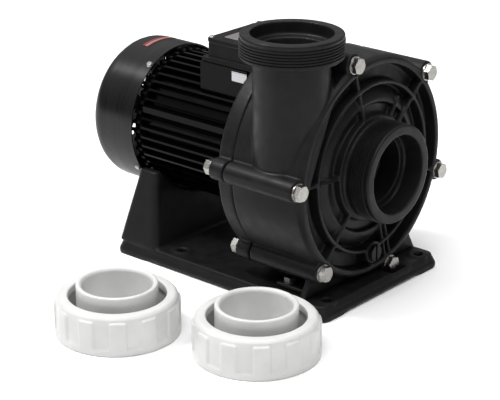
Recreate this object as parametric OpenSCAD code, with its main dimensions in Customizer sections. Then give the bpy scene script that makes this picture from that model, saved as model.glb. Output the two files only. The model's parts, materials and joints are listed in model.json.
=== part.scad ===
// Close-coupled plastic pool pump with an electric motor and two loose pipe unions.
// The shaft runs along X: the suction port faces +X and the discharge port faces +Z.
// The origin is the centre of the base's underside.

/* [Base] */
// Length of the base along the shaft
base_l = 317; // [300:1:330]
// Width of the base
base_w = 218; // [214:1:230]
// Height of the base's top face above the ground
base_h = 17; // [16:1:20]
// Distance between the front and rear mounting holes
mount_dx = 216; // [210:1:220]
// Distance between the left and right mounting holes
mount_dy = 170; // [164:1:174]

/* [Casing] */
// Height of the shaft above the ground
axis_h = 147; // [146:1:152]
// Radius of the casing drum
drum_r = 127; // [126:0.5:128]
// Radius of the circle of through-bolts
bolt_circle_r = 131; // [130:0.5:133]
// Diameter of the through-bolts
bolt_d = 10; // [8:1:10]

/* [Ports] */
// Outer diameter of the port threads
port_d = 113; // [112:0.5:114]
// Pitch of the port threads
thread_pitch = 3.1; // [2.5:0.1:3.2]
// Distance from the base's centre to the suction face
suction_x = 174; // [172:1:180]
// Height of the discharge face above the ground
discharge_h = 312.5; // [306:0.5:318]

/* [Motor] */
// Radius over the cooling fins
fin_r = 81; // [80:0.5:82]
// Radius of the fan cover
fan_cover_r = 87; // [86:0.5:88]
// Number of cooling fins
fin_count = 44; // [36:2:48]

/* [Unions] */
// Outer diameter of the pipe that the union takes
pipe_d = 75; // [74:0.5:76]
// Height of the union nut
union_nut_h = 44; // [42:1:48]

/* [Hidden] */
$fn = 96;

plastic = "#2e2e31";
motor_black = "#161618";
steel = "#b9bab6";
dark_steel = "#77777a";
rubber = "#1b1b1b";
union_white = "#e6e6e3";

// Stations along the shaft
nut_x = 13;
bracket_x = 23;
joint_x = 43;
joint_groove = 0.8;
boss_face_x = 138;
face_x = 140.4;
recess_x = 125.4;
cavity_front_x = 114;
eye_step_x = 149;

// Through-bolts: angles about the shaft, from +Y towards +Z
bolt_angles = [-16.5, 42, 106.5, 176.5, 228.5, 286];
boss_r = 12.5;
hole_r = bolt_d / 2 + 0.4;
washer_r = bolt_d;
washer_t = 2;
head_r = bolt_d * 0.95;
head_h = bolt_d * 0.64;
nut_h = bolt_d * 0.8;

// Discharge neck
neck_x = 95.7;
neck_y = -90.2;
neck_r = 42;
port_r = port_d / 2;
mouth_r = 44.5;
mouth_z = discharge_h - 15;
collar_h = 27;
eye_r = 36;
thread_turns = 7;

// Motor
housing_r = 72;
housing_x0 = -140;
housing_x1 = 0;
bearing_r = 26;
shaft_r = 12.5;
fan_cover_x0 = -222;
fan_cover_x1 = -149;
box_x0 = -66;
box_x1 = 7;
box_half_w = 45;
box_z0 = axis_h + 93;
box_z1 = 262;
lid_z = 267.6;
gland_z = 252;

// Places where the two unions stand
left_union = [-2, -261];
right_union = [146, -205];
tail_r = 44;
tail_h = 56;
flange_r = 55;

// Local X and Y become world Y and Z, and local Z runs along the shaft
module on_shaft(x = 0) {
  translate([x, 0, axis_h]) rotate([90, 0, 90]) children();
}

module tube(r_out, r_in, h) {
  difference() {
    cylinder(r = r_out, h = h);
    translate([0, 0, -1]) cylinder(r = r_in, h = h + 2);
  }
}

module torus(r_mid, r_cord) {
  rotate_extrude() translate([r_mid, 0]) circle(r = r_cord, $fn = 24);
}

module at_bolts(x = 0) {
  for (a = bolt_angles)
    on_shaft(x) rotate([0, 0, a]) translate([bolt_circle_r, 0, 0]) children();
}

module round_block(size, r) {
  linear_extrude(size.z) union() {
    square([size.x - 2 * r, size.y], center = true);
    square([size.x, size.y - 2 * r], center = true);
    for (sx = [-1, 1], sy = [-1, 1])
      translate([sx * (size.x / 2 - r), sy * (size.y / 2 - r)]) circle(r = r);
  }
}

// Threaded collar standing on Z = 0 with its mouth at the top
module thread_collar(h) {
  root_r = port_r - 1.3;
  lead_in = 4.5;
  first = h - lead_in - thread_turns * thread_pitch;
  crests = [for (i = [0 : thread_turns - 1]) first + i * thread_pitch];
  profile = concat(
    [[0, 0], [root_r, 0]],
    [for (z = crests, p = [[root_r, z], [port_r, z + 0.9], [port_r, z + 2],
      [root_r, z + thread_pitch]]) p],
    [[root_r, h - lead_in], [port_r - 0.6, h - lead_in + 0.5],
     [port_r - 0.6, h - 1], [port_r - 1.6, h], [0, h]]
  );
  rotate_extrude() polygon(profile);
}

/* Base and casing */

module pedestal(grow = 0) {
  bottom = [62 - 2 * grow, 212 - 2 * grow];
  top = [28 - 2 * grow, 158 - 2 * grow];
  rise = 84 - grow;
  hull() {
    translate([-125.5, 0, base_h - 1]) round_block([bottom.x, bottom.y, 0.5], 8);
    translate([-132, 0, base_h - 1 + rise]) round_block([top.x, top.y, 0.5], 8);
  }
}

module base_plate() color(plastic) difference() {
  union() {
    base_shell();
    base_ribs();
  }
  // Room for the lowest through-bolt and its boss
  on_shaft(low_bolt_x0) rotate([0, 0, low_bolt_angle]) translate([bolt_circle_r, 0, 0])
    cylinder(r = boss_r + 1.5, h = low_bolt_l);
}

low_bolt_angle = 286;
low_bolt_x0 = nut_x - 6;
low_bolt_l = 146;

module base_shell() {
  difference() {
    union() {
      translate([0, 0, 2]) round_block([base_l, base_w, 5], 12);
      translate([0, 0, 6]) round_block([base_l - 4, base_w - 4, 5.5], 11);
      translate([0, 0, 8]) round_block([base_l - 9, base_w - 9, base_h - 8], 9);
      for (sx = [-1, 1], sy = [-1, 1])
        translate([sx * (base_l / 2 - 26), sy * (base_w / 2 - 24), 0])
          round_block([52, 48, 4], 12);
      for (p = mount_points) translate([p.x, p.y, base_h - 1]) cylinder(r = 11, h = 2.5);
      pedestal();
    }
    translate([0, 0, -1]) round_block([base_l - 18, base_w - 18, base_h - 3], 8);
    pedestal(4.5);
    on_shaft(-160) cylinder(r = fin_r + 3, h = 80);
    // Room for the fan cover and the rear end shield
    on_shaft(fan_cover_x0) cylinder(r = fan_cover_r + 1, h = fan_cover_x1 - fan_cover_x0 + 4);
    for (p = mount_points) translate([p.x, p.y, -1]) cylinder(r = 5.5, h = base_h + 6);
    for (s = [-1, 1]) translate([90, s * 82, base_h - 6]) cylinder(r = 3.6, h = 8);
  }
}

mount_points = [for (sx = [-1, 1], sy = [-1, 1]) [36 + sx * mount_dx / 2, sy * mount_dy / 2]];

module base_ribs() {
  difference() {
    union() {
      for (x = [-96, -50, 10, 60, 110])
        translate([x - 2, 8 - base_w / 2, 2]) cube([4, base_w - 16, base_h - 5]);
      for (y = [-52, 52])
        translate([8 - base_l / 2, y - 2, 2]) cube([base_l - 16, 4, base_h - 5]);
      for (p = mount_points) translate([p.x, p.y, 0]) cylinder(r = 11, h = base_h - 3);
      cylinder(r = 16, h = base_h - 3);
      translate([low_bolt_x0 - 3, 16, 3]) cube([low_bolt_l + 6, 40, base_h - 5]);
    }
    for (p = mount_points) translate([p.x, p.y, -1]) cylinder(r = 5.5, h = base_h + 6);
  }
}

module motor_saddle_pad() color(rubber) {
  intersection() {
    on_shaft(-139) tube(fin_r + 3, fin_r + 0.2, 19);
    translate([-139, -72, 60]) cube([19, 144, 34]);
  }
}

// Outline of the water way round the impeller: it widens towards the discharge neck
function volute_r(a) = 86 + 26 * (150 - a) / 330;
module volute_outline() {
  polygon([for (a = [150 : -6 : -180]) volute_r(a) * [cos(a), sin(a)]]);
}

module casing_front_recess() {
  ring_out = 98.5;
  channel_out = 117;
  difference() {
    on_shaft(recess_x) cylinder(r = channel_out, h = 60);
    // The discharge throat fills the channel on one side
    on_shaft(recess_x - 1) rotate([0, 0, 156]) translate([104, -70, 0])
      cube([40, 140, face_x - recess_x + 0.5]);
    on_shaft(recess_x - 1) tube(ring_out, ring_out - 4, face_x - recess_x + 1);
    casing_dome();
  }
}

// Domed annulus between the ring wall and the suction hub
module casing_dome() {
  steps = 8;
  crown = [for (i = [0 : steps]) let (t = i / steps)
    [95 - 21 * t, recess_x - 1 + 12 * sin(90 * t)]];
  on_shaft() rotate_extrude() polygon(concat(
    [[40, recess_x - 2], [95, recess_x - 2]], crown,
    [[72, recess_x + 5], [61, recess_x + 5], [60, recess_x + 16], [40, recess_x + 16]]
  ));
}

module casing_ribs() {
  rib_h = face_x - recess_x;
  intersection() {
    union() {
      for (a = [-16.5, 42, 106.5, 176.5, 228.5])
        on_shaft(recess_x - 1) rotate([0, 0, a]) translate([50, -1.8, 0]) cube([74, 3.6, rib_h]);
      for (s = [-1, 1])
        on_shaft(recess_x - 1) rotate([0, 0, 286]) translate([50, s * 4 - 1.5, 0]) cube([70, 3, rib_h]);
      on_shaft(recess_x - 1) rotate([0, 0, 57]) translate([55, -1.8, 0]) cube([31, 3.6, rib_h - 1]);
      on_shaft(recess_x - 1) rotate([0, 0, 137]) translate([86, -20, 0]) cube([5, 40, rib_h - 3]);
    }
    on_shaft(recess_x - 1) cylinder(r = 120, h = rib_h);
  }
}

module discharge_neck() {
  translate([neck_x, neck_y, axis_h]) cylinder(r = neck_r, h = discharge_h - collar_h - axis_h + 1);
  translate([neck_x, neck_y, discharge_h - collar_h]) thread_collar(collar_h);
}

module casing_foot() {
  // Front plate with slanted ends, and a narrower block behind it
  plate = [[-103, base_h], [103, base_h], [84, 50], [-84, 50]];
  translate([119, 0, 0]) rotate([90, 0, 90]) linear_extrude(7) polygon(plate);
  translate([56, -66, base_h]) cube([65, 132, 34]);
  for (s = [-1, 1])
    translate([90, s * 78, base_h]) translate([-13, -14, 0]) cube([40, 28, 6]);
}

module casing_body() {
  on_shaft(joint_x) cylinder(r = drum_r, h = boss_face_x - joint_x - 3);
  on_shaft(boss_face_x - 3) cylinder(r1 = drum_r, r2 = 123, h = face_x - boss_face_x + 3);
  at_bolts(joint_x + joint_groove) cylinder(r = boss_r, h = boss_face_x - joint_x - joint_groove);
  discharge_neck();
  casing_foot();
}

module volute_casing() color(plastic) difference() {
  union() {
    difference() {
      casing_body();
      casing_front_recess();
      at_bolts(boss_face_x) cylinder(r = washer_r + 1, h = 6);
    }
    casing_ribs();
    on_shaft(recess_x) cylinder(r = 54, h = suction_x - recess_x - 2);
    on_shaft(suction_x - 27) thread_collar(27);
    drain_boss();
  }
  // Back opening, water way and impeller chamber
  on_shaft(joint_x - 1) cylinder(r = 114, h = 10);
  on_shaft(joint_x + 8) linear_extrude(cavity_front_x - joint_x - 8) volute_outline();
  on_shaft(joint_x) cylinder(r = 84, h = cavity_front_x - joint_x);
  // Suction passage
  on_shaft(cavity_front_x - 1) cylinder(r = 50, h = 8);
  on_shaft(cavity_front_x) cylinder(r = eye_r, h = 80);
  on_shaft(eye_step_x) cylinder(r = mouth_r, h = 40);
  // Discharge passage
  translate([neck_x, neck_y, axis_h]) cylinder(r = 26, h = 90);
  translate([neck_x, neck_y, 235]) cylinder(r1 = 26, r2 = eye_r, h = mouth_z - 234);
  translate([neck_x, neck_y, mouth_z]) cylinder(r = mouth_r, h = 40);
  at_bolts(joint_x - 1) cylinder(r = hole_r, h = 100);
  for (s = [-1, 1]) translate([90, s * 82, base_h - 1]) cylinder(r = 4.3, h = 10);
  drain_axis(cavity_front_x - 2) cylinder(r = drain_r, h = 40);
  drain_axis(drain_face_x - 4) cylinder(r = 9.8, h = 10);
}

// Drain at the lowest point of the front
drain_r = 7;
drain_face_x = 142;
module drain_axis(x) {
  on_shaft(x) rotate([0, 0, -89]) translate([101, 0, 0]) children();
}
module drain_boss() {
  drain_axis(cavity_front_x + 4) cylinder(r = 13, h = drain_face_x - cavity_front_x - 4);
}

module drain_plug() color(plastic) difference() {
  union() {
    drain_axis(cavity_front_x + 3) cylinder(r = drain_r - 0.1, h = drain_face_x - 4 - cavity_front_x - 3);
    drain_axis(drain_face_x - 1) cylinder(r = 9, h = 5);
    drain_axis(drain_face_x - 4) cylinder(r = 6.5, h = 4);
  }
  drain_axis(drain_face_x + 1) translate([-10, -1.5, 0]) cube([20, 3, 4]);
}

module drain_o_ring() color(rubber) {
  drain_axis(drain_face_x - 2.5) torus(8.1, 1.5);
}

module rear_bracket() color(plastic) difference() {
  union() {
    on_shaft(bracket_x) cylinder(r = drum_r, h = joint_x - bracket_x);
    at_bolts(bracket_x) cylinder(r = boss_r, h = joint_x - bracket_x - joint_groove);
    on_shaft(joint_x - 1) cylinder(r = 113.8, h = 9);
    on_shaft(bracket_x - 3) cylinder(r = 86, h = 10);
    on_shaft(joint_x) cylinder(r = 30, h = 17);
  }
  // Weight-saving recesses behind and in front of the web
  on_shaft(bracket_x - 10) tube(118, 90, 23);
  on_shaft(bracket_x - 10) cylinder(r = 62, h = 24);
  on_shaft(joint_x) tube(106, 40, 12);
  // Seal pocket
  on_shaft(0) cylinder(r = 12, h = 80);
  on_shaft(50) cylinder(r = 22, h = 20);
  // Groove for the casing seal
  on_shaft(joint_x + 2) tube(120, 110.9, 4);
  at_bolts(bracket_x - 1) cylinder(r = hole_r, h = 40);
  at_flange_bolts(0) cylinder(r = 4, h = 34);
}

module bracket_o_ring() color(rubber) {
  on_shaft(joint_x + 4) torus(112.4, 1.5);
}

/* Fasteners */

module hex_head(r, h) {
  intersection() {
    cylinder(r = r, h = h, $fn = 6);
    cylinder(r1 = r + h, r2 = r * 0.9, h = h);
  }
}

module casing_bolts() color(steel) at_bolts() {
  translate([0, 0, boss_face_x + washer_t]) hex_head(head_r, head_h);
  translate([0, 0, nut_x - 3]) cylinder(d = bolt_d, h = boss_face_x + washer_t - nut_x + 3);
}

module front_washers() color(steel)
  at_bolts(boss_face_x) tube(washer_r, bolt_d / 2 + 0.3, washer_t);

module rear_washers() color(steel)
  at_bolts(bracket_x - washer_t) tube(washer_r, bolt_d / 2 + 0.3, washer_t);

module casing_nuts() color(steel) at_bolts(nut_x) difference() {
  cylinder(r = head_r, h = nut_h, $fn = 6);
  translate([0, 0, -1]) cylinder(r = bolt_d / 2 + 0.05, h = nut_h + 2);
}

module foot_bolts() color(dark_steel) for (s = [-1, 1]) translate([90, s * 82, 0]) {
  translate([0, 0, base_h + 7.6]) hex_head(7.5, 5.3);
  translate([0, 0, base_h - 5]) cylinder(r = 3.5, h = 13);
}

module foot_washers() color(dark_steel)
  for (s = [-1, 1]) translate([90, s * 82, base_h + 6]) tube(8, 4, 1.6);

/* Wet end */

module wear_ring() color("#d8d4c8") on_shaft(cavity_front_x - 11) {
  tube(46, 40.4, 17.8);
}

// One swept vane of even thickness, standing on Z = 0
module blade(start_r, end_r, sweep, h) {
  steps = 6;
  half_t = 1.4;
  function side(t, s) = let (r = start_r + (end_r - start_r) * t, a = sweep * t + s * asin(half_t / r))
    [r * cos(a), r * sin(a)];
  linear_extrude(h) polygon(concat(
    [for (i = [0 : steps]) side(i / steps, -1)],
    [for (i = [steps : -1 : 0]) side(i / steps, 1)]
  ));
}

module impeller() color("#3c3c40") difference() {
  union() {
    on_shaft(75) cylinder(r = 75, h = 4);
    on_shaft(95) tube(75, eye_r - 3, 4);
    on_shaft(98) tube(40, eye_r - 3, 12);
    on_shaft(74) cylinder(r = 17, h = 27);
    for (a = [0 : 360 / 7 : 359]) on_shaft(78) rotate([0, 0, a]) blade(14, 74, -70, 18);
  }
  on_shaft(60) cylinder(r = 9, h = 60);
}

module impeller_nut() color(steel) difference() {
  union() {
    on_shaft(102.6) cylinder(r = 11.5, h = 8, $fn = 6);
    on_shaft(110.6) cylinder(r1 = 9, r2 = 4, h = 6);
  }
  on_shaft(90) cylinder(r = 6, h = 22);
}

module impeller_washer() color(steel) on_shaft(101) tube(13, 6.3, 1.6);

module seal_seat() color("#e9e2d2") on_shaft(50) tube(20, 11.5, 7.5);
module seal_seat_cup() color(rubber) on_shaft(50) tube(21.9, 20, 7);
module seal_face() color("#26262a") on_shaft(57.5) tube(17, 9.6, 5);
module seal_collar() color(rubber) on_shaft(62.5) tube(13, 9, 11.5);

module seal_spring() color(steel) {
  turns = 4;
  per_turn = 12;
  wire = 1;
  mid_r = 15;
  length = 8;
  points = [for (i = [0 : turns * per_turn], j = [0 : 5])
    let (a = i * 360 / per_turn, b = j * 60, r = mid_r + wire * cos(b))
    [r * cos(a), r * sin(a), 1.5 + length * i / (turns * per_turn) + wire * sin(b)]];
  rings = turns * per_turn;
  faces = concat(
    [[for (j = [0 : 5]) j]],
    [for (i = [0 : rings - 1], j = [0 : 5])
      [i * 6 + j, (i + 1) * 6 + j, (i + 1) * 6 + (j + 1) % 6, i * 6 + (j + 1) % 6]],
    [[for (j = [5 : -1 : 0]) rings * 6 + j]]
  );
  on_shaft(63) polyhedron(points, faces);
}

module slinger() color(rubber) on_shaft(27) tube(24, shaft_r - 3.5, 3);

/* Motor */

module motor_shaft() color(steel) {
  on_shaft(-153) cylinder(r = shaft_r, h = 173);
  on_shaft(-206) cylinder(r = 9.5, h = 54);
  on_shaft(19) cylinder(r = 9, h = 82);
  on_shaft(100) cylinder(r = 6, h = 12);
}

module rotor_core() color("#8a8a8c") on_shaft(-106) tube(40.5, shaft_r, 72);

module at_bearings() {
  for (x = [-151, 2]) on_shaft(x) children();
}

module bearing_groove() {
  translate([0, 0, 7.5]) torus(19.25, 4.05);
}

module bearing_inner_rings() color(steel) at_bearings() difference() {
  tube(16.8, shaft_r, 15);
  bearing_groove();
}

module bearing_outer_rings() color(steel) at_bearings() difference() {
  tube(bearing_r, 21.7, 15);
  bearing_groove();
}

module bearing_balls() color(steel) at_bearings()
  for (a = [0 : 40 : 359]) rotate([0, 0, a]) translate([19.25, 0, 7.5]) sphere(r = 3.9, $fn = 24);

module wave_washer() color(dark_steel) on_shaft(-152.4) tube(25.5, 22, 1.2);

module stator_core() color("#8a8a8c") on_shaft(-106) difference() {
  cylinder(r = housing_r - 6, h = 72);
  translate([0, 0, -1]) cylinder(r = 41, h = 74);
  for (a = [0 : 15 : 359]) rotate([0, 0, a]) translate([44, -3, -1]) cube([12, 6, 74]);
}

module stator_windings() color("#9a4a22") {
  for (a = [0 : 15 : 359])
    on_shaft(-110) rotate([0, 0, a]) translate([44.5, -2.5, 0]) cube([11, 5, 80]);
  for (x = [-126, -34]) on_shaft(x) tube(59, 44, 20);
}

module motor_housing() color(motor_black) difference() {
  fin_t = 2.6;
  fin_root_r = housing_r - 3;
  fin_end = 0.6;
  fin_l = housing_x1 - housing_x0 - 2 * fin_end;
  union() {
    on_shaft(housing_x0) cylinder(r = housing_r, h = housing_x1 - housing_x0);
    for (i = [0 : fin_count - 1])
      on_shaft(housing_x0 + fin_end) rotate([0, 0, (i + 0.5) * 360 / fin_count])
        translate([fin_root_r, -fin_t / 2, 0]) cube([fin_r - fin_root_r, fin_t, fin_l]);
    // Flat strip on each side, and the pad that carries the terminal box
    for (s = [-1, 1])
      translate([housing_x0 + 2 * fin_end, s * 71 - 6, axis_h + 24]) cube([fin_l - 2 * fin_end, 12, 7]);
    translate([-72, -50, axis_h + 52]) cube([70, 100, 41]);
  }
  on_shaft(housing_x0 - 1) cylinder(r = housing_r - 6, h = housing_x1 - housing_x0 + 2);
  translate([-50, -25, axis_h + 40]) cube([30, 50, 60]);
  for (s = [-1, 1], x = [-60, -10])
    translate([x, s * 36, box_z0 - 14]) cylinder(r = 2, h = 20);
}

module flange_angles() {
  for (a = [45 : 90 : 359]) rotate([0, 0, a]) children();
}

module at_flange_bolts(x = 0) {
  on_shaft(x) flange_angles() translate([76, 0, 0]) children();
}

module front_end_shield() color(motor_black) difference() {
  union() {
    on_shaft(10) cylinder(r = 85, h = 10);
    on_shaft(housing_x1) cylinder(r = 66, h = 12);
    on_shaft(-8) cylinder(r = housing_r - 6.1, h = 10);
  }
  on_shaft(-9) tube(60, 32, 17);
  on_shaft(-9) cylinder(r = bearing_r, h = 26);
  on_shaft(0) cylinder(r = shaft_r + 1, h = 40);
  at_flange_bolts(5) cylinder(r = 4.4, h = 20);
}

module rear_end_shield() color(motor_black) difference() {
  union() {
    on_shaft(-150) cylinder(r = 79, h = 10);
    on_shaft(-141) cylinder(r = housing_r - 6.1, h = 9);
    on_shaft(-154) cylinder(r = 33, h = 10);
    for (i = [0 : fin_count - 1])
      on_shaft(-150) rotate([0, 0, i * 360 / fin_count]) translate([79, 0, 0]) cylinder(r = 3.2, h = 10);
    for (a = [34 : 90 : 359])
      on_shaft(-160) rotate([0, 0, a]) translate([70, -6, 0]) cube([14.9, 12, 14]);
  }
  on_shaft(-153) cylinder(r = bearing_r, h = 30);
  on_shaft(-144) tube(60, 33, 20);
  on_shaft(-170) cylinder(r = shaft_r + 1, h = 40);
  at_fan_cover_screws(60) cylinder(r = 2.1, h = 30);
}

module flange_bolts() color(dark_steel) at_flange_bolts() {
  translate([0, 0, 3]) hex_head(7.5, 5.4);
  translate([0, 0, 8.3]) cylinder(r = 8, h = 1.6);
  translate([0, 0, 9]) cylinder(r = 3.9, h = 22);
}

module cooling_fan() color("#2a2a2c") difference() {
  union() {
    on_shaft(-200) cylinder(r = 18, h = 26);
    on_shaft(-178) cylinder(r = 46, h = 3);
    for (a = [0 : 45 : 359]) on_shaft(-202) rotate([0, 0, a]) translate([12, -1.2, 0]) cube([62, 2.4, 26]);
  }
  on_shaft(-210) cylinder(r = 9.5, h = 60);
}

// Solid of revolution with a rounded closed end at Z = 0
module round_ended(r, corner, length) {
  rotate_extrude() polygon(concat(
    [[0, 0]],
    [for (a = [0 : 15 : 90]) [r - corner + corner * sin(a), corner - corner * cos(a)]],
    [[r, length], [0, length]]
  ));
}

module fan_cover() color(motor_black) difference() {
  corner = 22;
  wall = 1.5;
  length = fan_cover_x1 - fan_cover_x0;
  on_shaft(fan_cover_x0) round_ended(fan_cover_r, corner, length);
  on_shaft(fan_cover_x0 + wall) round_ended(fan_cover_r - wall, corner - wall, length);
  // Air grille: rings of slots between six spokes
  for (r = [18 : 9 : 63])
    on_shaft(fan_cover_x0 - 1) difference() {
      tube(r + 4.5, r, 5);
      for (a = [0 : 60 : 359]) rotate([0, 0, a]) translate([0, -2.5, -1]) cube([90, 5, 8]);
    }
  at_fan_cover_screws(80) cylinder(r = 2.4, h = 12);
}

// Local Z points away from the shaft
module at_fan_cover_screws(r = 0) {
  for (a = [34 : 90 : 359])
    translate([-154, 0, axis_h]) rotate([a - 90, 0, 0]) translate([0, 0, r]) children();
}

module fan_cover_screws() color(steel) at_fan_cover_screws(fan_cover_r) {
  cylinder(r1 = 4.4, r2 = 3, h = 2.4);
  translate([0, 0, -12]) cylinder(r = 2, h = 12.5);
}

module terminal_box() color(plastic) difference() {
  mid_x = (box_x0 + box_x1) / 2;
  length = box_x1 - box_x0;
  union() {
    translate([mid_x, 0, box_z0]) round_block([length + 14, 2 * box_half_w + 8, 5], 5);
    translate([mid_x, 0, box_z0]) round_block([length, 2 * box_half_w, box_z1 - box_z0], 4);
  }
  translate([mid_x, 0, box_z0 + 3]) round_block([length - 6, 2 * box_half_w - 6, 30], 3);
  translate([-50, -25, box_z0 - 1]) cube([30, 50, 5]);
  translate([gland_x, box_half_w - 10, gland_z]) rotate([-90, 0, 0]) cylinder(r = 8.1, h = 20);
  // Room in the rim for the gland
  translate([gland_x, box_half_w + 0.5, gland_z]) rotate([-90, 0, 0]) cylinder(r = 12, h = 10);
  for (s = [-1, 1], x = [-60, -10]) translate([x, s * 36, box_z0 - 1]) cylinder(r = 2, h = 8);
}

module terminal_gasket() color(rubber) difference() {
  mid_x = (box_x0 + box_x1) / 2;
  length = box_x1 - box_x0;
  translate([mid_x, 0, box_z1]) round_block([length - 0.6, 2 * box_half_w - 0.6, 0.8], 4);
  translate([mid_x, 0, box_z1 - 1]) round_block([length - 6, 2 * box_half_w - 6, 3], 3);
}

lid_points = [for (sx = [0, 1], sy = [-1, 1]) [sx ? box_x1 - 4 : box_x0 + 4, sy * (box_half_w - 4)]];

module terminal_lid() color(plastic) difference() {
  mid_x = (box_x0 + box_x1) / 2;
  length = box_x1 - box_x0;
  translate([mid_x, 0, box_z1 + 0.8]) round_block([length + 1.6, 2 * box_half_w + 1.6, lid_z - box_z1 - 0.8], 5);
  translate([mid_x, 0, box_z1]) round_block([length - 14, 2 * box_half_w - 14, 3.4], 3);
  for (p = lid_points) translate([p.x, p.y, box_z1]) cylinder(r = 2, h = 12);
}

module terminal_lid_screws() color(steel) for (p = lid_points) translate([p.x, p.y, 0]) {
  translate([0, 0, lid_z]) cylinder(r1 = 3.6, r2 = 2.6, h = 1.8);
  translate([0, 0, box_z1 + 1]) cylinder(r = 1.9, h = lid_z - box_z1);
}

module terminal_block() color("#b08a4a") {
  translate([-26, -16, box_z0 + 3]) cube([22, 32, 8]);
  for (x = [-20, -10], y = [-10, 0, 10]) translate([x, y, box_z0 + 10]) cylinder(r = 2, h = 7);
}

module capacitor() color("#d7d7d2")
  translate([-52, -34, box_z0 + 13]) rotate([-90, 0, 0]) cylinder(r = 9, h = 60);

gland_x = (box_x0 + box_x1) / 2 + 15;

module cable_gland() color("#1d1d1f") difference() {
  union() {
    translate([gland_x, box_half_w - 4, gland_z]) rotate([-90, 0, 0]) cylinder(r = 8, h = 22);
    translate([gland_x, box_half_w + 0.7, gland_z]) rotate([-90, 0, 0]) cylinder(r = 11, h = 5, $fn = 6);
  }
  translate([gland_x, 0, gland_z]) rotate([-90, 0, 0]) cylinder(r = 5, h = 90);
}

module gland_nut() color("#1d1d1f") difference() {
  union() {
    translate([gland_x, box_half_w + 7, gland_z]) rotate([-90, 0, 0]) cylinder(r = 11, h = 9, $fn = 6);
    translate([gland_x, box_half_w + 16, gland_z]) rotate([-90, 0, 0]) cylinder(r1 = 9.5, r2 = 7, h = 7);
  }
  translate([gland_x, 0, gland_z]) rotate([-90, 0, 0]) cylinder(r = 8.05, h = box_half_w + 18.2);
  translate([gland_x, 0, gland_z]) rotate([-90, 0, 0]) cylinder(r = 4.5, h = 90);
}

module fan_cover_label() color("#a8342c") on_shaft(-189) intersection() {
  tube(fan_cover_r + 0.5, fan_cover_r, 9);
  rotate([0, 0, 74]) cube([120, 120, 40]);
  rotate([0, 0, 16]) cube([120, 120, 40]);
}

module lid_plate() color("#a9aaa8") translate([(box_x0 + box_x1) / 2, 0, lid_z]) round_block([44, 66, 0.6], 3);

module housing_label() color("#dcdcda") translate([-24, -50.4, axis_h + 79]) cube([22, 0.4, 11]);

/* Loose unions: each stands on the ground with its threaded end down */

module union_nut() color(union_white) {
  lug_h = 37.5;
  rim_h = 7.5;
  nut_r = 68;
  pocket = 2;
  top_r = nut_r - pocket - 0.5;
  difference() {
    union() {
      cylinder(r = nut_r, h = lug_h);
      translate([0, 0, lug_h - 1]) cylinder(r = top_r, h = union_nut_h - lug_h - 2.5);
      translate([0, 0, union_nut_h - 3.5]) cylinder(r1 = top_r, r2 = top_r - 3.5, h = 3.5);
    }
    for (a = [0 : 30 : 359]) rotate([0, 0, a]) intersection() {
      translate([0, 0, rim_h]) tube(nut_r + 1, nut_r - pocket, lug_h);
      translate([30, -9, 0]) cube([60, 18, 60]);
    }
    translate([0, 0, -1]) cylinder(r = port_r + 0.3, h = 35);
    cylinder(r = 53, h = 60);
  }
}

module union_tailpiece() color(union_white) difference() {
  union() {
    cylinder(r = tail_r, h = tail_h);
    cylinder(r = flange_r, h = 8);
  }
  translate([0, 0, -1]) cylinder(r = 33, h = 80);
  translate([0, 0, 12]) cylinder(r = pipe_d / 2 + 0.15, h = 80);
  translate([0, 0, tail_h - 3]) cylinder(r1 = pipe_d / 2 + 0.15, r2 = pipe_d / 2 + 2.4, h = 3.01);
  translate([0, 0, -1]) tube(50.2, 45, 3.7);
}

module union_o_ring() color(rubber) translate([0, 0, 1.3]) torus(47.6, 1.25);

module at_left_union() translate(left_union) children();
module at_right_union() translate(right_union) children();

base_plate();
motor_saddle_pad();
volute_casing();
rear_bracket();
casing_bolts();
front_washers();
rear_washers();
casing_nuts();
foot_bolts();
foot_washers();
bracket_o_ring();
wear_ring();
drain_plug();
drain_o_ring();
impeller();
impeller_nut();
impeller_washer();
seal_seat();
seal_seat_cup();
seal_face();
seal_spring();
seal_collar();
slinger();
motor_shaft();
rotor_core();
bearing_inner_rings();
bearing_outer_rings();
bearing_balls();
wave_washer();
stator_core();
stator_windings();
motor_housing();
front_end_shield();
rear_end_shield();
flange_bolts();
cooling_fan();
fan_cover();
fan_cover_screws();
terminal_box();
terminal_gasket();
terminal_lid();
terminal_lid_screws();
terminal_block();
capacitor();
cable_gland();
gland_nut();
fan_cover_label();
lid_plate();
housing_label();
at_left_union() union_nut();  // left_union_nut
at_left_union() union_tailpiece();  // left_union_tailpiece
at_left_union() union_o_ring();  // left_union_o_ring
at_right_union() union_nut();  // right_union_nut
at_right_union() union_tailpiece();  // right_union_tailpiece
at_right_union() union_o_ring();  // right_union_o_ring
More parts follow.
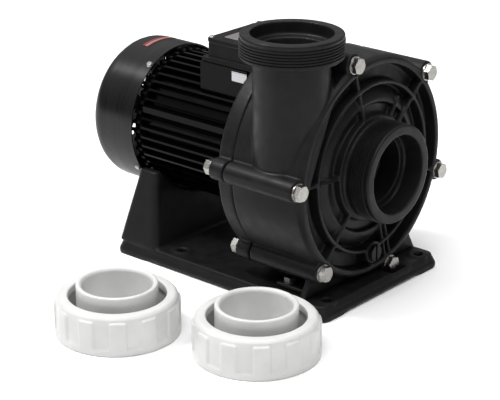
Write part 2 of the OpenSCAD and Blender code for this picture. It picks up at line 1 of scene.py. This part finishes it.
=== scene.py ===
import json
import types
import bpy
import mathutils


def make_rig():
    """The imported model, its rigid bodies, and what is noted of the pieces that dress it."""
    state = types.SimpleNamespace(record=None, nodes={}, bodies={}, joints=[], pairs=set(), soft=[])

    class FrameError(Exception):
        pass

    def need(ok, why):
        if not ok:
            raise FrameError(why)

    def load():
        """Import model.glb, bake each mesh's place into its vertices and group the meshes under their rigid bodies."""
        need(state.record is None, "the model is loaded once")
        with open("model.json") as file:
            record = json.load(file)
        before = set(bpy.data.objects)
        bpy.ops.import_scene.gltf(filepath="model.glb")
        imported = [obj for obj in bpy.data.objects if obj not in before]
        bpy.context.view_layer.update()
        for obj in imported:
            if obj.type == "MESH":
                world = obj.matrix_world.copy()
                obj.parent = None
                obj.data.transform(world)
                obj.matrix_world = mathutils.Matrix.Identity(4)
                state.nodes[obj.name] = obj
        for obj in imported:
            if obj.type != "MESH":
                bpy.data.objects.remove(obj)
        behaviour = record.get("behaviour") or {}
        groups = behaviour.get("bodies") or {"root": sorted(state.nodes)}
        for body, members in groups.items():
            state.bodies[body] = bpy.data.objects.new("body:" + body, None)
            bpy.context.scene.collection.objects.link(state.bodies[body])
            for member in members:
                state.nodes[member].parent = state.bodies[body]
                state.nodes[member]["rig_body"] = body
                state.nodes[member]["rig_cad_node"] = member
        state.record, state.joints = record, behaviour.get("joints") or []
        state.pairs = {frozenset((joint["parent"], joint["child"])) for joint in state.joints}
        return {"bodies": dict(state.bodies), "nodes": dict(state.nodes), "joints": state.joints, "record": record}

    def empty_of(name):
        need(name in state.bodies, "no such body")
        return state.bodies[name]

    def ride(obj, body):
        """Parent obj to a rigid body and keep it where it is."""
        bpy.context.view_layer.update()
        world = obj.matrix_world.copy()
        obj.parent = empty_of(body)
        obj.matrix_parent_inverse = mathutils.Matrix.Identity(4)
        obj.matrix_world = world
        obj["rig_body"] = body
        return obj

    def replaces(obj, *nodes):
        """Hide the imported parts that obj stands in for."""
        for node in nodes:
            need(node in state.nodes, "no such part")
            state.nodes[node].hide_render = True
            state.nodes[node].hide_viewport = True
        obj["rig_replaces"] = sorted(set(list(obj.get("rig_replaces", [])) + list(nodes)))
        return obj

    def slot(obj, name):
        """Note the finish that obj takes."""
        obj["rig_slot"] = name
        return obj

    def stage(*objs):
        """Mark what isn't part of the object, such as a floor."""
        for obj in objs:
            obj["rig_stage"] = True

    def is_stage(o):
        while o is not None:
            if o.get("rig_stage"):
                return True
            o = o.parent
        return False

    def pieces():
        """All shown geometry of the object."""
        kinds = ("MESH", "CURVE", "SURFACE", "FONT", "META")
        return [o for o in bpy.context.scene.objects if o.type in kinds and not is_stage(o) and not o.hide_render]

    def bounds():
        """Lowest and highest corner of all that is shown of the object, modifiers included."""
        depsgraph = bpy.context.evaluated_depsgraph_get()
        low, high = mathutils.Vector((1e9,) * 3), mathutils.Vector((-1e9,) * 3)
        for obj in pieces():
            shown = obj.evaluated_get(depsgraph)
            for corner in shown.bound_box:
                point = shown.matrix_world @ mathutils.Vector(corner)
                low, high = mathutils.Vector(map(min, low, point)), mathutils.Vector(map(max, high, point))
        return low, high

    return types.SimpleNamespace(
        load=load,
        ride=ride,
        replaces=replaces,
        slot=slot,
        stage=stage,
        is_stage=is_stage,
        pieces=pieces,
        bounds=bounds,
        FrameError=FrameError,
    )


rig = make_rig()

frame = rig.load()

import json
import math

import bmesh
import bpy
from mathutils import Matrix, Vector

NODES = frame["nodes"]
CAD_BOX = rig.bounds()
MM = 0.001

# Stations and sizes that the pieces below share with the CAD, in millimetres
SHAFT_Z = 147
THREAD_R = 56.5
THREAD_ROOT_R = 54.8
THREAD_PITCH = 3.1
SUCTION_FACE_X = 174
NECK_CENTRE = (95.7, -90.2)
DISCHARGE_FACE_Z = 312.5
COLLAR_H = 27
PLAIN_RIM_H = 4.5

# The photograph's camera, fitted to the ports, bolts and base
CAMERA_AZIMUTH = 40.86
CAMERA_ELEVATION = 21.14
CAMERA_DISTANCE = 2.0124
CAMERA_TARGET = (-0.0405, 0, 0.0634)
CAMERA_LENS = 122.3

# Each softbox: its place, its two sizes and its power
LIGHTS = {
    "key": ((-1.0, -1.0, 2.3), (0.6, 0.6), 54),
    "top": ((0.7, -0.5, 2.3), (1.8, 1.8), 40),
    "front": ((2.2, -0.6, 0.9), (0.9, 1.2), 5),
}
LIGHTS_AIM = (0, 0, 0.12)
FLOOR_HALF_SIZE = 6
FLOOR_Z = -0.0002

SLOT_OF = {part["node"]: part["material_slot"] for part in frame["record"]["subparts"]}


# ---------------------------------------------------------------- camera, floor and light

def add_camera():
    azimuth = math.radians(CAMERA_AZIMUTH)
    elevation = math.radians(CAMERA_ELEVATION)
    back = Vector((
        math.sin(azimuth) * math.cos(elevation),
        -math.cos(azimuth) * math.cos(elevation),
        math.sin(elevation),
    ))
    data = bpy.data.cameras.new("camera")
    data.sensor_width = 36
    data.lens = CAMERA_LENS
    camera = bpy.data.objects.new("camera", data)
    camera.location = Vector(CAMERA_TARGET) + back * CAMERA_DISTANCE
    camera.rotation_mode = "QUATERNION"
    camera.rotation_quaternion = (-back).to_track_quat("-Z", "Y")
    bpy.context.scene.collection.objects.link(camera)
    bpy.context.scene.camera = camera


def add_area_light(name, place, size, power):
    data = bpy.data.lights.new(name, "AREA")
    data.shape = "RECTANGLE"
    data.size, data.size_y = size
    data.energy = power
    light = bpy.data.objects.new(name, data)
    light.location = place
    light.rotation_mode = "QUATERNION"
    light.rotation_quaternion = (Vector(LIGHTS_AIM) - Vector(place)).to_track_quat("-Z", "Y")
    bpy.context.scene.collection.objects.link(light)


def add_slope(tree, value, start, end, low, high):
    """A number that goes from low to high while value goes from start to end."""
    slope = tree.nodes.new("ShaderNodeMapRange")
    tree.links.new(value, slope.inputs["Value"])
    slope.inputs["From Min"].default_value = start
    slope.inputs["From Max"].default_value = end
    slope.inputs["To Min"].default_value = low
    slope.inputs["To Max"].default_value = high
    return slope.outputs["Result"]


def add_world():
    """Soft surroundings: bright overhead, dim near the ground and on the suction side."""
    world = bpy.data.worlds.new("studio")
    world.use_nodes = True
    tree = world.node_tree
    background = tree.nodes["Background"]
    split = tree.nodes.new("ShaderNodeSeparateXYZ")
    tree.links.new(tree.nodes.new("ShaderNodeTexCoord").outputs["Generated"], split.inputs[0])
    overhead = add_slope(tree, split.outputs["Z"], start=0.05, end=0.85, low=0.12, high=1.55)
    suction_side = add_slope(tree, split.outputs["X"], start=-0.2, end=0.8, low=0.75, high=0.3)
    strength = tree.nodes.new("ShaderNodeMath")
    strength.operation = "MULTIPLY"
    tree.links.new(overhead, strength.inputs[0])
    tree.links.new(suction_side, strength.inputs[1])
    tree.links.new(strength.outputs[0], background.inputs["Strength"])
    background.inputs["Color"].default_value = (1, 1, 1, 1)
    bpy.context.scene.world = world


def add_studio():
    add_world()
    bpy.context.scene.view_settings.view_transform = "Standard"
    for name, (place, size, power) in LIGHTS.items():
        add_area_light(name, place, size, power)

    bm = bmesh.new()
    bmesh.ops.create_grid(bm, x_segments=8, y_segments=8, size=FLOOR_HALF_SIZE)
    mesh = bpy.data.meshes.new("floor")
    bm.to_mesh(mesh)
    bm.free()
    floor = bpy.data.objects.new("floor", mesh)
    floor.location.z = FLOOR_Z
    bpy.context.scene.collection.objects.link(floor)
    floor.data.materials.append(floor_material())
    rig.stage(floor)


# ---------------------------------------------------------------- materials

class Shader:
    """A material with object coordinates and small helpers for its nodes."""

    def __init__(self, name):
        self.material = bpy.data.materials.new(name)
        self.material.use_nodes = True
        self.tree = self.material.node_tree
        self.bsdf = self.tree.nodes["Principled BSDF"]
        self.coords = self.tree.nodes.new("ShaderNodeTexCoord").outputs["Object"]

    def node(self, kind, **inputs):
        made = self.tree.nodes.new(kind)
        for key, value in inputs.items():
            self.feed(made.inputs[key.replace("_", " ")], value)
        return made

    def feed(self, socket, value):
        if isinstance(value, bpy.types.NodeSocket):
            self.tree.links.new(value, socket)
        else:
            socket.default_value = value

    def set(self, name, value):
        self.feed(self.bsdf.inputs[name], value)

    def stretched(self, scale):
        mapping = self.node("ShaderNodeMapping", Vector=self.coords, Scale=scale)
        return mapping.outputs["Vector"]

    def noise(self, size, detail=3.0, coords=None):
        """Noise whose features are about size metres across."""
        where = coords or self.coords
        made = self.node("ShaderNodeTexNoise", Vector=where, Scale=1 / size, Detail=detail)
        return made.outputs["Fac"]

    def ramp(self, factor, low, high, start=0.35, end=0.65):
        """Colour or number between low and high as factor goes from start to end."""
        made = self.node("ShaderNodeMapRange", Value=factor,
                         From_Min=start, From_Max=end, To_Min=low, To_Max=high)
        return made.outputs["Result"]

    def mix(self, factor, low, high):
        made = self.tree.nodes.new("ShaderNodeMix")
        made.data_type = "RGBA"
        self.feed(made.inputs["Factor"], factor)
        for socket, value in ((made.inputs[6], low), (made.inputs[7], high)):
            self.feed(socket, value)
        return made.outputs[2]

    def calculate(self, operation, first, second):
        made = self.node("ShaderNodeMath")
        made.operation = operation
        self.feed(made.inputs[0], first)
        self.feed(made.inputs[1], second)
        return made.outputs[0]

    def bump(self, height, distance, strength, normal=None):
        made = self.node("ShaderNodeBump", Height=height, Distance=distance, Strength=strength)
        if normal is not None:
            self.feed(made.inputs["Normal"], normal)
        return made.outputs["Normal"]


def grey(value, tint=0.0):
    return (value, value, value * (1 + tint), 1)


def moulded_material(name, light, dark, rough, tint=0.04, level=0.5):
    """Moulded plastic: faint mottling, a fine grain and uneven gloss."""
    s = Shader(name)
    mottle = s.ramp(s.noise(0.02, 4), 0.0, 1.0)
    s.set("Base Color", s.mix(mottle, grey(dark, tint), grey(light, tint)))
    s.set("Roughness", s.ramp(s.noise(0.012, 5), rough[0], rough[1]))
    s.set("Specular IOR Level", level)
    fine = s.bump(s.noise(0.0006, 2), 0.00004, 0.5)
    s.set("Normal", s.bump(s.noise(0.03, 2), 0.0002, 0.35, normal=fine))
    return s.material


def floor_material():
    """Plain white paper."""
    s = Shader("floor_paper")
    s.set("Base Color", s.mix(s.noise(0.3, 2), grey(0.93), grey(0.91)))
    s.set("Roughness", s.ramp(s.noise(0.05, 2), 0.88, 0.96))
    s.set("Specular IOR Level", 0.2)
    return s.material


def painted_material(name, value, rough):
    """Gloss paint with orange peel and a little dust."""
    s = Shader(name)
    dust = s.ramp(s.noise(0.008, 6), 0.0, 1.0, 0.45, 0.8)
    s.set("Base Color", s.mix(dust, grey(value, 0.03), grey(value * 1.9, 0.0)))
    s.set("Roughness", s.ramp(s.noise(0.015, 4), rough[0], rough[1]))
    s.set("Specular IOR Level", 0.07)
    s.set("Normal", s.bump(s.noise(0.0025, 2), 0.00004, 0.4))
    return s.material


def fan_cover_material():
    """Sheet steel that keeps its turning marks, so the gloss streaks run round the cover."""
    s = Shader("fan_cover_black")
    streaks = s.noise(0.0016, 3, s.stretched((1, 0.03, 0.03)))
    bands = s.noise(0.012, 2, s.stretched((1, 0.05, 0.05)))
    s.set("Base Color", s.mix(s.ramp(streaks, 0.0, 1.0, 0.3, 0.7), grey(0.003), grey(0.007)))
    s.set("Roughness", s.ramp(bands, 0.26, 0.36))
    s.set("Specular IOR Level", 0.2)
    s.set("Anisotropic", 0.8)
    s.set("Anisotropic Rotation", 0.25)
    around = s.tree.nodes.new("ShaderNodeTangent")
    around.direction_type = "RADIAL"
    around.axis = "X"
    s.feed(s.bsdf.inputs["Tangent"], around.outputs["Tangent"])
    s.set("Normal", s.bump(streaks, 0.00003, 0.5))
    return s.material


def metal_material(name, colour, rough, stretch=(1, 1, 6)):
    """Bare metal with fine grinding marks and slight staining."""
    s = Shader(name)
    marks = s.noise(0.0004, 3, s.stretched(stretch))
    stain = s.ramp(s.noise(0.004, 4), 0.0, 1.0, 0.4, 0.75)
    darker = tuple(c * 0.72 for c in colour) + (1,)
    s.set("Base Color", s.mix(stain, tuple(colour) + (1,), darker))
    s.set("Metallic", 1.0)
    s.set("Roughness", s.ramp(marks, rough[0], rough[1]))
    s.set("Normal", s.bump(marks, 0.00002, 0.5))
    return s.material


def rubber_material():
    s = Shader("black_rubber")
    s.set("Base Color", s.mix(s.noise(0.003, 4), grey(0.012), grey(0.022)))
    s.set("Roughness", s.ramp(s.noise(0.002, 3), 0.6, 0.8))
    s.set("Normal", s.bump(s.noise(0.0007, 3), 0.00005, 0.6))
    return s.material


def union_material():
    """White moulded PVC with a little light carried under its skin."""
    s = Shader("white_pvc")
    mottle = s.ramp(s.noise(0.03, 3), 0, 1)
    s.set("Base Color", s.mix(mottle, (0.49, 0.49, 0.485, 1), (0.53, 0.53, 0.525, 1)))
    s.set("Roughness", s.ramp(s.noise(0.01, 4), 0.3, 0.44))
    s.set("Subsurface Weight", 0.15)
    s.set("Subsurface Radius", (0.004, 0.0038, 0.0035))
    s.set("Subsurface Scale", 1.0)
    fine = s.bump(s.noise(0.0009, 2), 0.00002, 0.4)
    s.set("Normal", s.bump(s.noise(0.02, 2), 0.00012, 0.4, normal=fine))
    return s.material


def winding_material():
    s = Shader("varnished_winding")
    wire = s.tree.nodes.new("ShaderNodeTexWave")
    s.feed(wire.inputs["Vector"], s.coords)
    s.feed(wire.inputs["Scale"], 260.0)
    s.feed(wire.inputs["Distortion"], 3.0)
    s.set("Base Color", s.mix(wire.outputs["Fac"], (0.2, 0.06, 0.02, 1), (0.5, 0.2, 0.08, 1)))
    s.set("Roughness", s.ramp(s.noise(0.003), 0.3, 0.5))
    s.set("Normal", s.bump(wire.outputs["Fac"], 0.0002, 0.6))
    return s.material


def lamination_material():
    """Stack of thin steel sheets, seen as fine lines across the shaft."""
    s = Shader("lamination_stack")
    lines = s.tree.nodes.new("ShaderNodeTexWave")
    lines.bands_direction = "X"
    s.feed(lines.inputs["Vector"], s.coords)
    s.feed(lines.inputs["Scale"], 320.0)
    s.set("Base Color", s.mix(lines.outputs["Fac"], grey(0.18), grey(0.34)))
    s.set("Metallic", 1.0)
    s.set("Roughness", s.ramp(s.noise(0.002), 0.35, 0.55))
    s.set("Normal", s.bump(lines.outputs["Fac"], 0.0001, 0.5))
    return s.material


def banded_label_material(name, axis, bands, ground, ink, sheen):
    """Foil with plain printed bands: bands are (from, to) in metres along one axis."""
    s = Shader(name)
    split = s.node("ShaderNodeSeparateXYZ", Vector=s.coords)
    place = split.outputs["XYZ".index(axis)]
    colour = ground
    wear = s.ramp(s.noise(0.004, 4), 0.0, 0.18, 0.4, 0.8)
    for low, high, value in bands:
        above = s.calculate("GREATER_THAN", place, low)
        below = s.calculate("LESS_THAN", place, high)
        inside = s.calculate("MULTIPLY", above, below)
        colour = s.mix(inside, colour, value)
    s.set("Base Color", s.mix(wear, colour, ink))
    s.set("Roughness", s.ramp(s.noise(0.006), sheen, sheen + 0.12))
    s.set("Normal", s.bump(s.noise(0.002), 0.00003, 0.4))
    return s.material


casing_plastic = moulded_material("casing_black", 0.0075, 0.0055, rough=(0.36, 0.5), level=0.15)
base_plastic = moulded_material("base_black", 0.006, 0.0042, rough=(0.44, 0.6), level=0.15)
box_plastic = moulded_material("box_black", 0.005, 0.0035, rough=(0.36, 0.48), level=0.08)
inner_plastic = moulded_material("inner_plastic", 0.05, 0.035, rough=(0.45, 0.6))
ring_plastic = moulded_material("ring_plastic", 0.62, 0.54, rough=(0.4, 0.55), tint=-0.12)
ceramic = moulded_material("ceramic_white", 0.82, 0.74, rough=(0.15, 0.28), tint=-0.1)
carbon = moulded_material("carbon_face", 0.035, 0.02, rough=(0.25, 0.4))
can_plastic = moulded_material("can_grey", 0.7, 0.62, rough=(0.3, 0.42))
motor_paint = painted_material("motor_black", 0.001, rough=(0.14, 0.24))
stainless = metal_material("stainless_steel", (0.36, 0.35, 0.33), rough=(0.2, 0.34))
dark_steel = metal_material("dark_zinc", (0.13, 0.13, 0.135), rough=(0.3, 0.45))
shaft_steel = metal_material("shaft_steel", (0.56, 0.56, 0.55), rough=(0.15, 0.3), stretch=(8, 1, 1))
brass = metal_material("terminal_brass", (0.6, 0.42, 0.18), rough=(0.25, 0.4))
rubber = rubber_material()
union_white = union_material()
fan_cover_black = fan_cover_material()

MATERIALS = {
    "casing_plastic": casing_plastic,
    "motor_paint": motor_paint,
    "fan_cover_paint": fan_cover_black,
    "stainless": stainless,
    "black_zinc": dark_steel,
    "rubber": rubber,
    "union_plastic": union_white,
    "impeller_plastic": inner_plastic,
    "ring_plastic": ring_plastic,
    "ceramic": ceramic,
    "carbon": carbon,
    "shaft_steel": shaft_steel,
    "core_steel": lamination_material(),
    "winding_copper": winding_material(),
    "fan_plastic": inner_plastic,
    "terminal_brass": brass,
    "capacitor_can": can_plastic,
    "label_red": banded_label_material(
        "red_strip", "X",
        [(-0.1846, -0.1828, (0.22, 0.2, 0.19, 1)), (-0.1818, -0.1812, (0.2, 0.19, 0.18, 1))],
        (0.17, 0.006, 0.006, 1), (0.06, 0.005, 0.005, 1), 0.3),
    "label_silver": banded_label_material(
        "silver_plate", "X", [(-0.036, -0.0352, (0.2, 0.2, 0.2, 1))],
        (0.11, 0.1, 0.105, 1), (0.08, 0.08, 0.08, 1), 0.4),
    "label_white": banded_label_material(
        "white_label", "Z",
        [(0.2355, 0.2365, (0.35, 0.35, 0.36, 1)), (0.2325, 0.2332, (0.45, 0.45, 0.46, 1))],
        (0.5, 0.5, 0.52, 1), (0.36, 0.36, 0.37, 1), 0.3),
}
MATERIAL_BY_NODE = {
    "base_plate": base_plastic,
    "terminal_box": box_plastic,
    "terminal_lid": box_plastic,
}


# ---------------------------------------------------------------- meshes

def body_of(node):
    return NODES[node]["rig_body"]


def paint_cad_nodes():
    for node, slot in SLOT_OF.items():
        chosen = MATERIAL_BY_NODE.get(node, MATERIALS[slot])
        slots = NODES[node].data.materials
        slots.clear()
        slots.append(chosen)


def soften_edges(node, width):
    """Rounds a CAD node's edges without changing its mesh."""
    obj = NODES[node]
    weld = obj.modifiers.new("weld", "WELD")
    weld.merge_threshold = 1e-6
    flats = obj.modifiers.new("flats", "DECIMATE")
    flats.decimate_type = "DISSOLVE"
    flats.angle_limit = math.radians(0.5)
    bevel = obj.modifiers.new("bevel", "BEVEL")
    bevel.width = width * MM
    bevel.segments = 2
    bevel.limit_method = "ANGLE"
    bevel.angle_limit = math.radians(32)
    bevel.harden_normals = False
    normals = obj.modifiers.new("normals", "WEIGHTED_NORMAL")
    normals.keep_sharp = False


def apply_modifiers(obj):
    bpy.context.view_layer.update()
    graph = bpy.context.evaluated_depsgraph_get()
    mesh = bpy.data.meshes.new_from_object(obj.evaluated_get(graph))
    obj.modifiers.clear()
    obj.data = mesh


def moulded_copy(node, voxel, passes, keep, edit=None):
    """Stands for a CAD node with the soft edges and fillets of a moulding."""
    mesh = NODES[node].data.copy()
    bm = bmesh.new()
    bm.from_mesh(mesh)
    bmesh.ops.remove_doubles(bm, verts=bm.verts, dist=1e-6)
    if edit:
        edit(bm)
    bm.to_mesh(mesh)
    bm.free()
    obj = bpy.data.objects.new(node + "_moulded", mesh)
    bpy.context.scene.collection.objects.link(obj)
    remesh = obj.modifiers.new("remesh", "REMESH")
    remesh.mode = "VOXEL"
    remesh.voxel_size = voxel * MM
    remesh.use_smooth_shade = True
    smooth = obj.modifiers.new("smooth", "SMOOTH")
    smooth.factor = 0.5
    smooth.iterations = passes
    thin = obj.modifiers.new("thin", "DECIMATE")
    thin.ratio = keep
    apply_modifiers(obj)
    obj.data.shade_smooth()
    obj.data.materials.clear()
    obj.data.materials.append(NODES[node].data.materials[0])
    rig.ride(obj, body_of(node))
    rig.replaces(obj, node)
    slot = SLOT_OF[node]
    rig.slot(obj, slot)


# ---------------------------------------------------------------- casing, bracket and base

def smooth_thread_ground(bm):
    """Turns both threaded collars down to the root of their threads, below the plain rim."""
    foot, rim = -COLLAR_H - 0.5, -PLAIN_RIM_H - 0.1
    for v in bm.verts:
        x, z = v.co.x / MM, v.co.z / MM
        if SUCTION_FACE_X + foot < x < SUCTION_FACE_X + rim:
            limit_radius(v, 1, 2, (0, SHAFT_Z))
        if DISCHARGE_FACE_Z + foot < z < DISCHARGE_FACE_Z + rim:
            limit_radius(v, 0, 1, NECK_CENTRE)


def limit_radius(vert, i, j, centre):
    """Brings a vertex of a collar's outer face to the thread's root radius."""
    u = vert.co[i] - centre[0] * MM
    w = vert.co[j] - centre[1] * MM
    radius = math.hypot(u, w)
    if THREAD_ROOT_R * MM < radius < (THREAD_R + 1) * MM:
        share = THREAD_ROOT_R * MM / radius
        vert.co[i] = centre[0] * MM + u * share
        vert.co[j] = centre[1] * MM + w * share


def add_thread(name, start, length, place, material):
    """A helical thread round Z from start, then moved to its place. It fades in and out at its ends."""
    per_turn = 72
    fade_steps = 12
    foot_half, crest_half, sunk, faded = 1.05, 0.35, 0.3, 0.2
    depth = THREAD_R - THREAD_ROOT_R
    profile = [(-foot_half, -sunk), (-crest_half, depth), (crest_half, depth), (foot_half, -sunk)]
    steps = int(length / THREAD_PITCH * per_turn)
    bm = bmesh.new()
    rings = []
    for i in range(steps + 1):
        angle = 2 * math.pi * i / per_turn
        fade = min(1.0, i / fade_steps, (steps - i) / fade_steps)
        z = start + i * THREAD_PITCH / per_turn
        ring = []
        for dz, dr in profile:
            r = THREAD_ROOT_R + (dr if dr < 0 else -faded + (dr + faded) * fade)
            point = (r * math.cos(angle) * MM, r * math.sin(angle) * MM, (z + dz) * MM)
            ring.append(bm.verts.new(point))
        rings.append(ring)
    for a, b in zip(rings, rings[1:]):
        for k in range(4):
            bm.faces.new((a[k], b[k], b[(k + 1) % 4], a[(k + 1) % 4]))
    bm.faces.new(rings[0])
    bm.faces.new(list(reversed(rings[-1])))
    bmesh.ops.recalc_face_normals(bm, faces=bm.faces)
    bmesh.ops.transform(bm, matrix=place, verts=bm.verts)
    mesh = bpy.data.meshes.new(name)
    bm.to_mesh(mesh)
    bm.free()
    obj = bpy.data.objects.new(name, mesh)
    bpy.context.scene.collection.objects.link(obj)
    obj.data.materials.append(material)
    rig.ride(obj, "pump")
    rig.slot(obj, "casing_plastic")


def add_casing():
    moulded_copy("volute_casing", voxel=1.4, passes=3, keep=0.4, edit=smooth_thread_ground)
    moulded_copy("rear_bracket", voxel=1.8, passes=4, keep=0.6)
    start, end = 1.4 - COLLAR_H, -1.2 - PLAIN_RIM_H
    forward = Matrix.Rotation(math.pi / 2, 4, "Y")
    suction = Matrix.Translation((SUCTION_FACE_X * MM, 0, SHAFT_Z * MM)) @ forward
    add_thread("suction_thread", start, end - start, suction, casing_plastic)
    neck_x, neck_y = NECK_CENTRE
    discharge = Matrix.Translation((neck_x * MM, neck_y * MM, DISCHARGE_FACE_Z * MM))
    add_thread("discharge_thread", start, end - start, discharge, casing_plastic)


def add_base():
    moulded_copy("base_plate", voxel=1.8, passes=5, keep=0.5)


# ---------------------------------------------------------------- the whole object

# Edge rounding of the nodes that keep their CAD mesh, in millimetres
ROUNDED = {
    "casing_bolts": 0.5, "casing_nuts": 0.4, "front_washers": 0.3, "rear_washers": 0.3,
    "foot_bolts": 0.4, "foot_washers": 0.3, "drain_plug": 0.6, "motor_housing": 0.5,
    "front_end_shield": 0.8, "rear_end_shield": 0.6, "fan_cover": 0.4, "fan_cover_screws": 0.3,
    "flange_bolts": 0.4, "cable_gland": 0.4, "gland_nut": 0.4, "terminal_lid_screws": 0.25,
    "lid_plate": 0.2, "impeller": 0.4, "cooling_fan": 0.4,
}


add_camera()
paint_cad_nodes()
add_studio()
add_casing()
add_base()
for node, width in ROUNDED.items():
    soften_edges(node, width)
for side in ("left", "right"):
    for piece in ("_union_nut", "_union_tailpiece"):
        moulded_copy(side + piece, voxel=1.2, passes=4, keep=0.6)
for node in ("terminal_box", "terminal_lid"):
    moulded_copy(node, voxel=0.9, passes=4, keep=0.5)

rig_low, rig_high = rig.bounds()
with open("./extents.json", "w") as out:
    json.dump({"cad": [list(v) for v in CAD_BOX], "visual": [list(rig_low), list(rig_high)]}, out)
